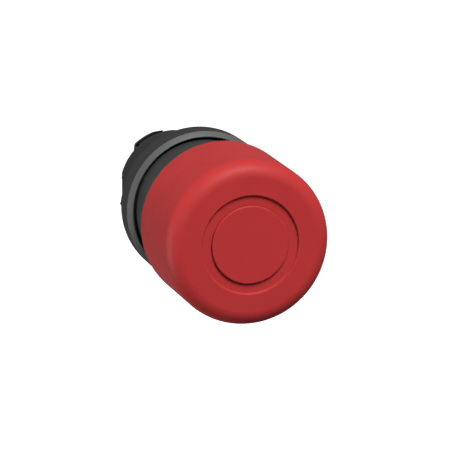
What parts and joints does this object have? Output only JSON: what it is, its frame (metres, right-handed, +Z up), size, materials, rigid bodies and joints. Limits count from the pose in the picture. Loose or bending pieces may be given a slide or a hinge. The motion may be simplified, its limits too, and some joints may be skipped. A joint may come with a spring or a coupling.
{
  "type": "emergency stop button head",
  "caption": "Panel-mount emergency stop operator head with a red push-pull latching mushroom cap, dark bezel, threadless bayonet collar and rear plunger.",
  "frame": {"origin": "on the button's axis, in the plane of the bezel's rear face, which seats on the panel", "axes": "+Y runs along the button's axis away from the operator, from the cap to the rear plunger. +Z is up, parallel to the two flats at the sides of the collar."},
  "size_m": [0.03, 0.0568, 0.03],
  "materials": {
    "red_cap": "fine satin moulding, red through and through",
    "bezel_grey": "dark grey, satin front chamfer",
    "sleeve_black": "smooth satin black",
    "black_plastic": "fine matte moulding",
    "rubber": "matte elastomer",
    "natural_acetal": "waxy natural white",
    "zinc_steel": "zinc plated",
    "spring_steel": "drawn and polished",
    "brass": "turned and knurled"
  },
  "bodies": {
    "housing": {"body": "black_plastic", "bezel": "bezel_grey", "panel_gasket": "rubber", "guide_sleeve": "sleeve_black", "guide_bush": "natural_acetal", "stem_o_ring": "rubber", "bellows": "rubber", "bellows_clamp_ring": "zinc_steel", "detent_cage": "black_plastic", "detent_spring": "spring_steel", "rear_guide": "black_plastic", "rear_circlip": "spring_steel", "plunger_stop_ring": "zinc_steel", "plunger_spring": "spring_steel"},
    "mushroom": {"mushroom_cap": "red_cap", "cap_disc": "red_cap", "cap_screw": "zinc_steel", "cap_lock_washer": "zinc_steel", "thread_insert": "brass", "stem": "black_plastic", "stop_washer": "rubber", "detent_cam": "natural_acetal", "stem_clip": "spring_steel"},
    "pusher": {"plunger": "natural_acetal"}
  },
  "joints": [
    {"name": "push_travel", "type": "slide", "parent": "housing", "child": "mushroom", "axis": [0, 1, 0], "range_m": [0, 0.0055], "deforming": ["bellows", "detent_spring"]},
    {"name": "plunger_travel", "type": "slide", "parent": "housing", "child": "pusher", "axis": [0, 1, 0], "range_m": [0, 0.0043], "deforming": ["plunger_spring"]}
  ],
  "couplings": [
    {"joint": "plunger_travel", "follows": "push_travel", "ratio": 0.7818}
  ]
}
